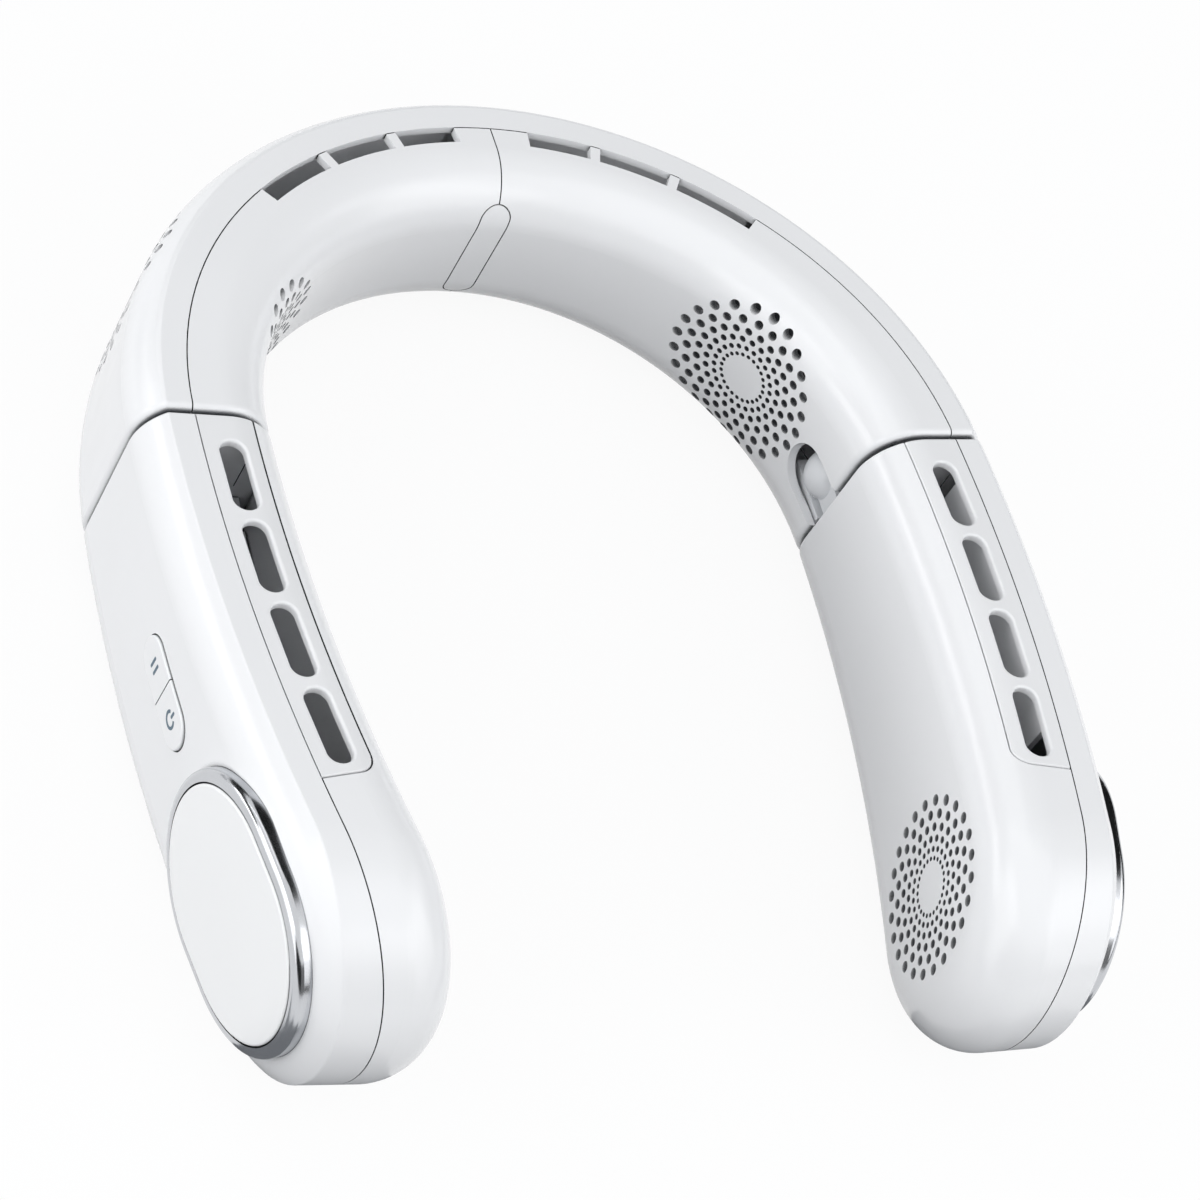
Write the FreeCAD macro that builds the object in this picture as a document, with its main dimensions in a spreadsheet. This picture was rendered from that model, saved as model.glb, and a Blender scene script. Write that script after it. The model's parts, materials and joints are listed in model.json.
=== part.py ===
import FreeCAD, Part
import math
import os
import re
import Sketcher
from FreeCAD import Placement, Rotation, Vector

# An electric neck fan: a stiff band behind the neck and two arms hinged to its ends.
# World frame: millimetres, +Z up, the band's centre of curvature on the Z axis, the nape
# at +Y, the arms running towards -Y, the wearer's right arm at +X. It rests on Z = 0.
# Pieces of one arm are drawn in the arm's own frame: x along the arm from the hinge seam,
# y outwards, z up. Pieces of the other side are mirror images across the YZ plane.

SIZES = {
    # Band
    "band_radius": 75.0,
    "band_depth": 27.0,
    "band_half_angle": 88.0,
    "hinge_height": 46.0,
    # Arms
    "arm_radius": 420.0,
    "arm_length": 121.0,
    "arm_end_radius": 27.8,
    # Shell form
    "wall": 1.8,
    "end_wall": 4.8,
    "inner_round": 11.0,
    "outer_round": 12.0,
    "crease_drop": 2.6,
    "seam_offset": 4.0,
    "seam_gap": 0.25,
    "hinge_gap": 1.2,
    "end_soft": 0.6,
    "band_end_soft": 1.4,
    # Hinge
    "hinge_set_back": 8.0,
    "hinge_depth": 6.0,
    "hinge_middle": 19.6,
    "hinge_clearance": 0.4,
    "knuckle_radius": 5.6,
    "knuckle_height": 9.4,
    "knuckle_lift": 0.8,
    "slot_height": 12.2,
    "ear_thickness": 2.4,
    "ear_clearance": 0.35,
    "pin_radius": 1.5,
    "running_clearance": 0.08,
    "stem_thickness": 7.0,
    "stem_height": 6.2,
    # Air outlets of the band, in degrees from the middle of the nape
    "window_width": 4.0,
    "window_start": 5.8,
    "window_rib_one": 16.4,
    "window_rib_two": 29.0,
    "window_end": 42.4,
    "window_rib": 1.5,
    # Outlet grille of an arm
    "strip_inner": 7.5,
    "strip_end": 80.4,
    "strip_corner": 4.0,
    "vent_first": 7.2,
    "vent_length": 15.8,
    "vent_pitch": 18.3,
    "vent_width": 5.0,
    "vent_offset": 1.7,
    "vent_soft": 0.5,
    # Perforated intakes
    "grille_radius": 16.4,
    "grille_hub": 5.4,
    "grille_hole": 1.1,
    "grille_count": 24,
    "grille_rings": 6,
    "band_fan_angle": 57.6,
    "band_fan_height": 20.8,
    # Oval cap and its ring on the outside of an arm
    "cap_position": 89.4,
    "cap_height": 27.8,
    "cap_straight": 3.8,
    "cap_radius": 19.2,
    "cap_stand": 2.6,
    "ring_width": 2.2,
    "ring_round": 1.5,
    "ring_stand": 2.3,
    "cap_recess": 0.9,
    "cap_gap": 0.3,
    # Buttons
    "button_position": 47.0,
    "button_height": 27.8,
    "button_half": 11.1,
    "button_radius": 4.5,
    "button_gap": 0.25,
    "button_stand": 0.5,
    "button_travel": 0.5,
    "switch_offset": 5.6,
    "button_flange": 0.9,
    # Trim over the joint of the two inner covers
    "trim_radius": 3.0,
    "trim_low": 6.5,
    "trim_high": 33.5,
    # Fans
    "arm_fan_radius": 18.0,
    "band_fan_radius": 14.5,
    "hub_radius": 9.6,
    "blade_count": 20,
    "blade_thickness": 0.8,
    "shaft_radius": 1.0,
    # Battery and electronics
    "cell_radius": 9.1,
    "cell_length": 65.0,
    "cell_position": 43.0,
    "board_thickness": 1.2,
    "duct_wall": 1.2,
    "duct_floor": 21.5,
}

STOCK = 130.0
STOCK_LOW = -20.0

doc = FreeCAD.newDocument("neck_fan")
sheet = doc.addObject("Spreadsheet::Sheet", "Sizes")
for row, (alias, value) in enumerate(SIZES.items(), 1):
    sheet.set("A%d" % row, alias)
    sheet.set("B%d" % row, str(value))
    sheet.setAlias("B%d" % row, alias)
doc.recompute()


class Numbers:
    """The same sizes as plain numbers, for placing pieces."""


n = Numbers()
for alias in SIZES:
    setattr(n, alias, float(sheet.get(alias)))


def tied(text):
    """A formula of size names, written so that the document follows the sheet."""
    def name(match):
        word = match.group()
        return "Sizes." + word if word in SIZES else word
    return re.sub(r"[a-z][a-z_]*", name, str(text))


def bind(thing, **formulas):
    for prop, text in formulas.items():
        thing.setExpression(prop, tied(text))
    return thing


# Plain building blocks

def cylinder(name, radius, height=str(STOCK), at=None, angle="360"):
    made = doc.addObject("Part::Cylinder", name)
    bind(made, Radius=radius, Height=height, Angle=angle)
    made.Placement = at or Placement(Vector(0, 0, STOCK_LOW), Rotation())
    return made


def box(name, length, width, height, at):
    made = doc.addObject("Part::Box", name)
    bind(made, Length=length, Width=width, Height=height)
    made.Placement = at
    return made


def cut(name, base, tool):
    made = doc.addObject("Part::Cut", name)
    made.Base = base
    made.Tool = tool
    return made


def common(name, base, tool):
    made = doc.addObject("Part::Common", name)
    made.Base = base
    made.Tool = tool
    return made


def fuse(name, shapes):
    made = doc.addObject("Part::MultiFuse", name)
    made.Shapes = shapes
    made.Refine = True
    return made


def mirrored(name, source):
    made = doc.addObject("Part::Mirroring", name)
    made.Source = source
    made.Base = Vector(0, 0, 0)
    made.Normal = Vector(1, 0, 0)
    return made


def rounded(name, base, radius, chosen):
    """Rounds the edges of a block that the chosen test picks."""
    doc.recompute()
    made = doc.addObject("Part::Fillet", name)
    made.Base = base
    edges = [i for i, edge in enumerate(base.Shape.Edges, 1) if chosen(edge)]
    made.Edges = [(i, radius, radius) for i in edges]
    doc.recompute()
    return made


def sketch_on(body, plane, name):
    drawn = body.newObject("Sketcher::SketchObject", name)
    origin_plane = [f for f in body.Origin.OriginFeatures if f.Role == plane][0]
    drawn.AttachmentSupport = [(origin_plane, "")]
    drawn.MapMode = "FlatFace"
    return drawn


def polygon(drawn, corners):
    """A closed outline whose every corner is held by two sizes of the sheet."""
    first = drawn.GeometryCount
    count = len(corners)
    spots = []
    for i in range(count):
        turn = 2 * math.pi * i / count
        spots.append(Vector(50 + 20 * math.cos(turn), 50 + 20 * math.sin(turn), 0))
    for i in range(count):
        drawn.addGeometry(Part.LineSegment(spots[i], spots[(i + 1) % count]), False)
    for i in range(count):
        drawn.addConstraint(Sketcher.Constraint("Coincident", first + i, 2, first + (i + 1) % count, 1))
    for i, (across, up) in enumerate(corners):
        for kind, text in (("DistanceX", across), ("DistanceY", up)):
            held = drawn.addConstraint(Sketcher.Constraint(kind, -1, 1, first + i, 1, 10.0))
            drawn.setExpression("Constraints[%d]" % held, tied(text))
    return drawn


def stadium(drawn, straight, radius):
    """Two half circles joined by straight sides, centred on the sketch's origin."""
    half = 10.0
    size = 5.0
    quarter = math.pi / 2
    right = Part.Circle(Vector(half, 0, 0), Vector(0, 0, 1), size)
    left = Part.Circle(Vector(-half, 0, 0), Vector(0, 0, 1), size)
    drawn.addGeometry(Part.ArcOfCircle(right, -quarter, quarter), False)
    drawn.addGeometry(Part.LineSegment(Vector(half, size, 0), Vector(-half, size, 0)), False)
    drawn.addGeometry(Part.ArcOfCircle(left, quarter, 3 * quarter), False)
    drawn.addGeometry(Part.LineSegment(Vector(-half, -size, 0), Vector(half, -size, 0)), False)
    for i in range(4):
        drawn.addConstraint(Sketcher.Constraint("Tangent", i, 2, (i + 1) % 4, 1))
    drawn.addConstraint(Sketcher.Constraint("Horizontal", 1))
    drawn.addConstraint(Sketcher.Constraint("PointOnObject", 0, 3, -1))
    drawn.addConstraint(Sketcher.Constraint("Symmetric", 0, 3, 2, 3, -1, 1))
    for kind, spot, text in (("DistanceX", (-1, 1, 0, 3), straight), ("Radius", (0,), radius)):
        held = drawn.addConstraint(Sketcher.Constraint(kind, *spot, half if kind == "DistanceX" else size))
        drawn.setExpression("Constraints[%d]" % held, tied(text))
    return drawn


def body(name, at=None):
    made = doc.addObject("PartDesign::Body", name)
    made.Placement = at or Placement()
    return made


def pad(holder, drawn, length, name, flipped=False):
    made = holder.newObject("PartDesign::Pad", name)
    made.Profile = drawn
    made.Reversed = flipped
    bind(made, Length=length)
    return made


def spun(holder, drawn, name, angle="360"):
    made = holder.newObject("PartDesign::Revolution", name)
    made.Profile = drawn
    made.ReferenceAxis = (drawn, ["V_Axis"])
    bind(made, Angle=angle)
    return made


# Where things sit

TURN_OUT = Rotation(Vector(1, 0, 0), -90)
HALF_ANGLE = math.radians(n.band_half_angle)


def arm_point(along, outward, up):
    """Placement on the arm at an arc length, an outward offset and a height, in the arm's frame."""
    turn = along / n.arm_radius
    reach = n.arm_radius + outward
    spot = Vector(reach * math.sin(turn), reach * math.cos(turn) - n.arm_radius, up)
    return Placement(spot, Rotation(Vector(0, 0, 1), -math.degrees(turn)))


def band_point(angle, outward, up):
    """Placement on the band at an angle from the nape towards +X, in the world."""
    turn = math.radians(angle)
    reach = n.band_radius + outward
    spot = Vector(reach * math.sin(turn), reach * math.cos(turn), up)
    return Placement(spot, Rotation(Vector(0, 0, 1), -angle))


ARM = band_point(n.band_half_angle, 0, 0)
FACING = Placement(Vector(0, 0, 0), TURN_OUT)
FAN_ALONG = n.arm_length - n.arm_end_radius


# The slope of the top: one plane runs along the band and both arms

REACH = n.arm_length - n.arm_end_radius
DROP = n.hinge_height - n.arm_end_radius
SLOPE = math.tan(math.asin(n.arm_end_radius / math.hypot(REACH, DROP)) - math.atan2(DROP, REACH))
SLOPE_TEXT = ("tan(asin(arm_end_radius / sqrt((arm_length - arm_end_radius)^2"
              " + (hinge_height - arm_end_radius)^2))"
              " - atan((hinge_height - arm_end_radius) / (arm_length - arm_end_radius)))")
HINGE_Y = n.band_radius * math.cos(HALF_ANGLE)


def top_at(y):
    return n.hinge_height - SLOPE * (y - HINGE_Y)


# Shell blocks

def arm_outline(name, inset, start, grow):
    """The arm seen square on: flat bottom, sloping top and a round end."""
    drawn = doc.addObject("Sketcher::SketchObject", name)
    drawn.Placement = Placement(Vector(0, 0, 0), Rotation(Vector(1, 0, 0), 90))
    edge = inset - grow
    x0 = start
    radius = n.arm_end_radius - edge
    reach = REACH
    high = n.hinge_height - edge + SLOPE * x0
    tip = math.pi / 2 + math.atan(SLOPE)
    centre = Vector(reach, n.arm_end_radius, 0)
    end = centre + Vector(math.cos(tip) * radius, math.sin(tip) * radius, 0)
    drawn.addGeometry(Part.LineSegment(Vector(x0, edge, 0), Vector(reach, edge, 0)), False)
    drawn.addGeometry(Part.ArcOfCircle(Part.Circle(centre, Vector(0, 0, 1), radius), -math.pi / 2, tip), False)
    drawn.addGeometry(Part.LineSegment(end, Vector(x0, high, 0)), False)
    drawn.addGeometry(Part.LineSegment(Vector(x0, high, 0), Vector(x0, edge, 0)), False)
    drawn.addConstraint(Sketcher.Constraint("Tangent", 0, 2, 1, 1))
    drawn.addConstraint(Sketcher.Constraint("Tangent", 1, 2, 2, 1))
    drawn.addConstraint(Sketcher.Constraint("Coincident", 2, 2, 3, 1))
    drawn.addConstraint(Sketcher.Constraint("Coincident", 3, 2, 0, 1))
    drawn.addConstraint(Sketcher.Constraint("Horizontal", 0))
    drawn.addConstraint(Sketcher.Constraint("Vertical", 3))
    held = (
        ("DistanceX", (-1, 1, 0, 1), x0, "%.6g" % start),
        ("DistanceX", (-1, 1, 1, 3), reach, "arm_length - arm_end_radius"),
        ("DistanceY", (-1, 1, 1, 3), n.arm_end_radius, "arm_end_radius"),
        ("Radius", (1,), radius, "arm_end_radius - (%.6g)" % edge),
        ("DistanceY", (-1, 1, 3, 1), high, "hinge_height - (%.6g) + %.6g * %s" % (edge, start, SLOPE_TEXT)),
    )
    for kind, spot, value, text in held:
        number = drawn.addConstraint(Sketcher.Constraint(kind, *spot, value))
        drawn.setExpression("Constraints[%d]" % number, tied(text))
    return drawn


def arm_slab(name, inset, start, grow):
    made = doc.addObject("Part::Extrusion", name)
    made.Base = arm_outline(name + "_outline", inset, start, grow)
    made.DirMode = "Custom"
    made.Dir = Vector(0, 1, 0)
    made.Solid = True
    bind(made, LengthFwd="band_depth", LengthRev="band_depth * 2.5")
    return made


def band_slab(name, inset, start, grow):
    """The band seen from the side: flat bottom and the same sloping top."""
    holder = body(name)
    edge = inset - grow
    near = "(band_radius * cos(band_half_angle) - 30)"
    far = "(band_radius + band_depth)"
    top = "hinge_height - (%.6g) - (%s - band_radius * cos(band_half_angle)) * " + SLOPE_TEXT
    drawn = sketch_on(holder, "YZ_Plane", name + "_side")
    polygon(drawn, [(near, "%.6g" % edge), (far, "%.6g" % edge),
                    (far, top % (edge, far)), (near, top % (edge, near))])
    made = pad(holder, drawn, "band_radius * 4", name + "_pad")
    made.SideType = "Symmetric"
    return holder


def hollow_ring(name, radius, inset, at):
    outside = cylinder(name + "_outside", "%s + band_depth / 2 - %.6g" % (radius, inset), at=at)
    inside = cylinder(name + "_inside", "%s - band_depth / 2 + %.6g" % (radius, inset), at=at)
    return cut(name, outside, inside)


def spots_on(edge):
    """Five points spread along an edge."""
    first = edge.FirstParameter
    step = (edge.LastParameter - first) / 4
    return [edge.valueAt(first + k * step) for k in range(5)]


def on_radius(edge, centre, radius, flat):
    """True for a long edge that lies on a standing cylinder and not on an end plane."""
    spots = spots_on(edge)
    for p in spots:
        if abs(math.hypot(p.x - centre.x, p.y - centre.y) - radius) > 0.01:
            return False
    return not all(flat(p) for p in spots)


def on_end(edge, centre, nearest, farthest, flat):
    """True for an edge of a hinge end whose middle lies between two radii."""
    spots = spots_on(edge)
    reach = math.hypot(spots[2].x - centre.x, spots[2].y - centre.y)
    return all(flat(p) for p in spots) and nearest < reach < farthest


def shell_block(name, slab, ring, centre, radius, inset, start, flat, end_soft):
    """A solid with a soft outer edge that ends in a crisp crease and a full round inside."""
    far = radius * 2
    tall = common(name + "_tall", ring, slab(name + "_tall_slab", inset, start, n.crease_drop))
    outside = radius + n.band_depth / 2 - inset
    soft = rounded(name + "_soft", tall, n.outer_round - inset, lambda e: on_radius(e, centre, outside, flat))
    if inset == 0.0:
        soft = rounded(name + "_end_out", soft, end_soft, lambda e: on_end(e, centre, radius, far, flat))
    low = common(name + "_low", soft, slab(name + "_slab", inset, start, 0.0))
    inside = radius - n.band_depth / 2 + inset
    full = rounded(name, low, n.inner_round - inset, lambda e: on_radius(e, centre, inside, flat))
    if inset > 0.0:
        return full
    near_outside = radius + n.band_depth / 5
    return rounded(name + "_end_in", full, end_soft, lambda e: on_end(e, centre, 0.0, near_outside, flat))


ARM_CENTRE = Vector(0, -n.arm_radius, STOCK_LOW)
ARM_AXIS = Placement(ARM_CENTRE, Rotation())
BAND_CENTRE = Vector(0, 0, STOCK_LOW)
BAND_TURN = Rotation(Vector(0, 0, 1), 90 - n.band_half_angle)
BAND_AXIS = Placement(BAND_CENTRE, BAND_TURN)


def arm_block(name, inset, start):
    ring = hollow_ring(name + "_ring", "arm_radius", inset, ARM_AXIS)
    return shell_block(name, arm_slab, ring, ARM_CENTRE, n.arm_radius, inset, start,
                       lambda p: abs(p.x - start) < 0.01, n.end_soft)


def band_block(name, inset):
    ring = hollow_ring(name + "_ring", "band_radius", inset, BAND_AXIS)
    bind(ring.Base, Angle="band_half_angle * 2")
    side = math.tan(math.pi / 2 - HALF_ANGLE)
    return shell_block(name, band_slab, ring, BAND_CENTRE, n.band_radius, inset, 0.0,
                       lambda p: abs(p.y - abs(p.x) * side) < 0.01, n.band_end_soft)


def ring_sector(name, outer, inner, start, sweep, centre, low, high):
    """Part of a ring between two angles counted from +X."""
    at = Placement(Vector(centre.x, centre.y, low), Rotation(Vector(0, 0, 1), start))
    height = "%.6g" % (high - low)
    return cut(name, cylinder(name + "_disc", outer, height, at, sweep), cylinder(name + "_hole", inner, height, at))


def arm_degrees(along):
    return math.degrees(along / n.arm_radius)


# Perforation of one intake, in a frame with z outwards

def perforation(name, at, low, high):
    rows = int(n.grille_rings)
    count = int(n.grille_count)
    holes = []
    for row in range(rows):
        share = row / (rows - 1.0)
        reach = n.grille_hub + (n.grille_radius - n.grille_hub) * (0.75 * share + 0.25 * share ** 2)
        size = n.grille_hole * (0.42 + 0.58 * share)
        for k in range(count):
            turn = 2 * math.pi * (k + 0.5 * (row % 2)) / count
            spot = Vector(reach * math.cos(turn), reach * math.sin(turn), low)
            holes.append(Part.makeCylinder(size, high - low, spot, Vector(0, 0, 1)))
    made = doc.addObject("Part::Feature", name)
    made.Shape = Part.makeCompound(holes)
    made.Placement = at
    return made


# Covers of the arm

arm_outside = arm_block("arm_outside", 0.0, n.hinge_gap)
arm_cavity = arm_block("arm_cavity", n.wall, n.hinge_gap + n.end_wall)
arm_skin = cut("arm_skin", arm_outside, arm_cavity)
arm_outer_plain = cut("arm_outer_plain", arm_skin, cylinder("arm_seam_out", "arm_radius + seam_offset", at=ARM_AXIS))
arm_inner_plain = common("arm_inner_plain", arm_skin,
                         cylinder("arm_seam_in", "arm_radius + seam_offset - seam_gap", at=ARM_AXIS))

HINGE_SPOT = Vector(-n.hinge_set_back, -n.band_depth / 2 + n.hinge_depth, 0)
HINGE_MID = n.hinge_middle


def band_inside_at(up):
    """How far in the band's end section reaches at a height."""
    middle = n.inner_round if up < n.hinge_height / 2 else n.hinge_height - n.inner_round
    over = abs(up - middle) if (up < middle) == (middle == n.inner_round) else 0.0
    over = min(over, n.inner_round)
    return -n.band_depth / 2 + n.inner_round - math.sqrt(n.inner_round ** 2 - over ** 2)


def swing_at(up):
    """Radius about the hinge that the band's inner corner needs at a height."""
    across = min(band_inside_at(up) - HINGE_SPOT.y, 0.0)
    return math.hypot(n.hinge_set_back, across) + n.hinge_clearance


groove_levels = []
for step in range(9):
    groove_levels.append(n.inner_round * (1 - math.cos(math.pi / 2 * step / 8)))
groove_levels = groove_levels + [n.hinge_height - level for level in reversed(groove_levels)]
groove_spun = body("groove_spun", Placement(HINGE_SPOT, Rotation()))
groove_drawn = sketch_on(groove_spun, "XZ_Plane", "groove_section")
groove_corners = [("%.6g" % swing_at(up), "%.6g" % up) for up in groove_levels]
polygon(groove_drawn, [("0", "0")] + groove_corners + [("0", "hinge_height")])
spun(groove_spun, groove_drawn, "groove_turned")
groove_side = box("groove_side", "40", "40", str(STOCK), Placement(HINGE_SPOT + Vector(0, -40, STOCK_LOW), Rotation()))
groove = common("arm_end_groove", groove_spun, groove_side)
stem_slot = box("stem_slot", "40", "stem_thickness + 0.1", "stem_height + 0.1",
                Placement(HINGE_SPOT + Vector(0, -n.stem_thickness / 2 - 0.05, HINGE_MID - n.stem_height / 2 - 0.05),
                          Rotation()))
arm_inner_hinged = cut("arm_inner_hinged", cut("arm_inner_grooved", arm_inner_plain, groove), stem_slot)


def strip_zone(name, gap):
    inner = "arm_radius - strip_inner + %.6g" % gap
    end = n.strip_end - gap
    start = 90 - arm_degrees(end)
    zone = ring_sector(name + "_plain", "arm_radius + band_depth / 2", inner, start, "20",
                       ARM_CENTRE, n.hinge_height / 2 + 8, STOCK)
    corner = arm_point(end, -n.strip_inner + gap, 0).Base

    def at_corner(edge):
        spots = [v.Point for v in edge.Vertexes]
        return len(spots) == 2 and all(math.hypot(p.x - corner.x, p.y - corner.y) < 0.02 for p in spots)
    return rounded(name, zone, n.strip_corner - gap, at_corner)


def vent(name, along):
    holder = body(name, arm_point(along, -n.vent_offset, n.hinge_height / 2 + 8))
    drawn = sketch_on(holder, "XY_Plane", name + "_outline")
    stadium(drawn, "vent_length / 2 - vent_width / 2", "vent_width / 2")
    pad(holder, drawn, "60", name + "_pad")
    return holder


arm_strip_plain = common("arm_strip_plain", arm_inner_hinged, strip_zone("strip_zone_in", n.seam_gap))
vents = [vent("vent_%d" % k, n.vent_first + n.vent_length / 2 + k * n.vent_pitch) for k in range(4)]
arm_strip_vented = cut("arm_strip_vented", arm_strip_plain, fuse("vents", vents))


def vent_rim(edge):
    """True for an edge on the outside rim of an air slot."""
    for spot in edge.discretize(3):
        across = math.hypot(spot.x - ARM_CENTRE.x, spot.y - ARM_CENTRE.y) - n.arm_radius
        if abs(across + n.vent_offset) > n.vent_width / 2 + 0.2 or spot.x < n.vent_first - 1:
            return False
        if spot.z < n.hinge_height + SLOPE * spot.x - n.wall / 2:
            return False
    return True


arm_strip = rounded("arm_strip", arm_strip_vented, n.vent_soft, vent_rim)
arm_inner_open = cut("arm_inner_open", arm_inner_hinged, strip_zone("strip_zone_out", 0.0))

ARM_FAN = arm_point(FAN_ALONG, 0, n.arm_end_radius).multiply(FACING)
arm_holes = perforation("arm_holes", ARM_FAN, -20.0, -9.0)
arm_inner = cut("arm_inner", arm_inner_open, arm_holes)

# Oval cap and ring: the frame's z points outwards, its x runs along the arm

CAP = arm_point(n.cap_position, n.band_depth / 2, n.cap_height).multiply(FACING)


def oval(name, straight, radius, length, raise_by):
    holder = body(name, CAP.multiply(Placement(Vector(0, 0, raise_by), Rotation())))
    drawn = sketch_on(holder, "XY_Plane", name + "_outline")
    stadium(drawn, straight, radius)
    pad(holder, drawn, length, name + "_pad")
    return holder


def top_edges(shape_object, height):
    """Edges of an oval that lie at a height above its own base."""
    doc.recompute()
    inverse = shape_object.Placement.inverse()

    def chosen(edge):
        return all(abs(inverse.multVec(v.Point).z - height) < 0.01 for v in edge.Vertexes)
    return chosen


recess = oval("cap_recess_tool", "cap_straight", "cap_radius + cap_gap + ring_width + 0.05", "8", -n.cap_recess)
cap_block = oval("cap_block", "cap_straight", "cap_radius", "cap_recess + cap_stand", -n.cap_recess)
cap = rounded("cap", cap_block, 0.5, top_edges(cap_block, n.cap_recess + n.cap_stand))
ring_block = oval("ring_block", "cap_straight", "cap_radius + cap_gap + ring_width", "cap_recess + ring_stand",
                  -n.cap_recess)
ring_round = rounded("ring_round", ring_block, n.ring_round, top_edges(ring_block, n.cap_recess + n.ring_stand))
cap_ring = cut("cap_ring", ring_round, oval("ring_opening", "cap_straight", "cap_radius + cap_gap", "9", -3.0))
arm_outer = cut("arm_outer", arm_outer_plain, recess)

# Hinge knuckle of the arm, hinge bracket and pin of the band

def upright(name, radius, low, height):
    return cylinder(name, radius, height, Placement(HINGE_SPOT + Vector(0, 0, low), Rotation()))


CAVITY_START = n.hinge_gap + n.end_wall
ball = doc.addObject("Part::Sphere", "ball")
bind(ball, Radius="knuckle_radius")
ball.Placement = Placement(HINGE_SPOT + Vector(0, -n.knuckle_lift, HINGE_MID), Rotation())
barrel = common("barrel", ball, upright("barrel_height", "knuckle_radius * 2", HINGE_MID - n.knuckle_height / 2,
                                        "knuckle_height"))
stem = box("stem", "hinge_set_back + %.6g" % (CAVITY_START + 2.6), "stem_thickness", "stem_height",
           Placement(HINGE_SPOT + Vector(0, -n.stem_thickness / 2, HINGE_MID - n.stem_height / 2), Rotation()))
foot = box("foot", "2.5", "14", "16",
           Placement(Vector(CAVITY_START + 0.1, -9.5, HINGE_MID - 8), Rotation()))
bore = upright("barrel_bore", "pin_radius + running_clearance", STOCK_LOW, str(STOCK))
knuckle = cut("knuckle", fuse("knuckle_solid", [barrel, stem, foot]), bore)

EAR_BACK = HINGE_SPOT.x - n.knuckle_radius - 1.6
EAR_LENGTH = -EAR_BACK - 1.0
EAR_IN = -n.band_depth / 2 + n.wall + 0.4
EAR_SPREAD = n.knuckle_height / 2 + n.ear_clearance
EAR_LOW = HINGE_MID - EAR_SPREAD - n.ear_thickness
EAR_STACK = "knuckle_height + 2 * (ear_clearance + ear_thickness)"
lower_ear = box("lower_ear", "%.6g" % EAR_LENGTH, "14", "ear_thickness",
                Placement(Vector(EAR_BACK, EAR_IN, EAR_LOW), Rotation()))
upper_ear = box("upper_ear", "%.6g" % EAR_LENGTH, "14", "ear_thickness",
                Placement(Vector(EAR_BACK, EAR_IN, HINGE_MID + EAR_SPREAD), Rotation()))
ear_back = box("ear_back", "%.6g" % EAR_LENGTH, "2", EAR_STACK,
               Placement(Vector(EAR_BACK, EAR_IN + 12, EAR_LOW), Rotation()))
pin_hole = upright("pin_hole", "pin_radius", STOCK_LOW, str(STOCK))
bracket = cut("bracket", fuse("bracket_solid", [lower_ear, upper_ear, ear_back]), pin_hole)
pin = upright("pin", "pin_radius", EAR_LOW, EAR_STACK)

# Covers of the band

band_outside = band_block("band_outside", 0.0)
band_cavity_plain = band_block("band_cavity", n.wall)
band_skin = cut("band_skin", band_outside, band_cavity_plain)
BAND_UP = Placement(BAND_CENTRE, Rotation())
band_outer_plain = cut("band_outer_plain", band_skin, cylinder("band_seam_out", "band_radius + seam_offset", at=BAND_UP))
band_inner_both = common("band_inner_both", band_skin,
                         cylinder("band_seam_in", "band_radius + seam_offset - seam_gap", at=BAND_UP))


def trim_tool(name, grow):
    holder = body(name)
    holder.Placement = Placement(Vector(0, 0, (n.trim_low + n.trim_high) / 2), Rotation(Vector(0, 1, 0), 90))
    drawn = sketch_on(holder, "XZ_Plane", name + "_outline")
    stadium(drawn, "(trim_high - trim_low) / 2 - trim_radius", "trim_radius + %.6g" % grow)
    pad(holder, drawn, "band_radius", name + "_pad", flipped=True)
    return holder


trim = common("trim", band_inner_both, trim_tool("trim_tool_in", 0.0))
band_inner_bare = cut("band_inner_bare", band_inner_both, trim_tool("trim_tool_out", n.seam_gap))
half_space = box("right_half", "band_radius * 2", "band_radius * 4", str(STOCK),
                 Placement(Vector(n.seam_gap / 2, -2 * n.band_radius, STOCK_LOW), Rotation()))
band_half = common("band_half", band_inner_bare, half_space)


def window(name, start, end):
    return ring_sector(name, "band_radius + seam_offset + 1", "band_radius + seam_offset - window_width",
                       90 - end, "%.6g" % (end - start), Vector(0, 0, 0), n.hinge_height / 2 + 5, STOCK)


windows = fuse("windows", [
    window("window_one", n.window_start, n.window_rib_one - n.window_rib / 2),
    window("window_two", n.window_rib_one + n.window_rib / 2, n.window_rib_two - n.window_rib / 2),
    window("window_three", n.window_rib_two + n.window_rib / 2, n.window_end),
])
band_windowed = cut("band_windowed", band_half, windows)

slot_end = n.hinge_set_back + n.knuckle_radius + 1.0
slot_body = body("hinge_slot", ARM.multiply(Placement(Vector(0, 0, HINGE_MID), Rotation())))
slot_drawn = sketch_on(slot_body, "XZ_Plane", "hinge_slot_outline")
stadium(slot_drawn, "hinge_set_back + knuckle_radius + 1 - slot_height / 2", "slot_height / 2")
pad(slot_body, slot_drawn, "band_depth / 2 + 10", "hinge_slot_pad")
band_slotted = cut("band_slotted", band_windowed, slot_body)

BAND_FAN = band_point(n.band_fan_angle, 0, n.band_fan_height).multiply(FACING)
band_holes = perforation("band_holes", BAND_FAN, -30.0, -8.0)
band_inner = cut("band_inner", band_slotted, band_holes)
band_back_holes = perforation("band_back_holes", BAND_FAN, 6.0, 20.0)
band_back_holes_left = mirrored("band_back_holes_left", band_back_holes)
band_outer = cut("band_outer", cut("band_outer_right", band_outer_plain, band_back_holes), band_back_holes_left)

# Fans, in a frame with z outwards and the intake at -z

MOTOR_LOW = 0.6
MOTOR_HIGH = 9.2


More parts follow.
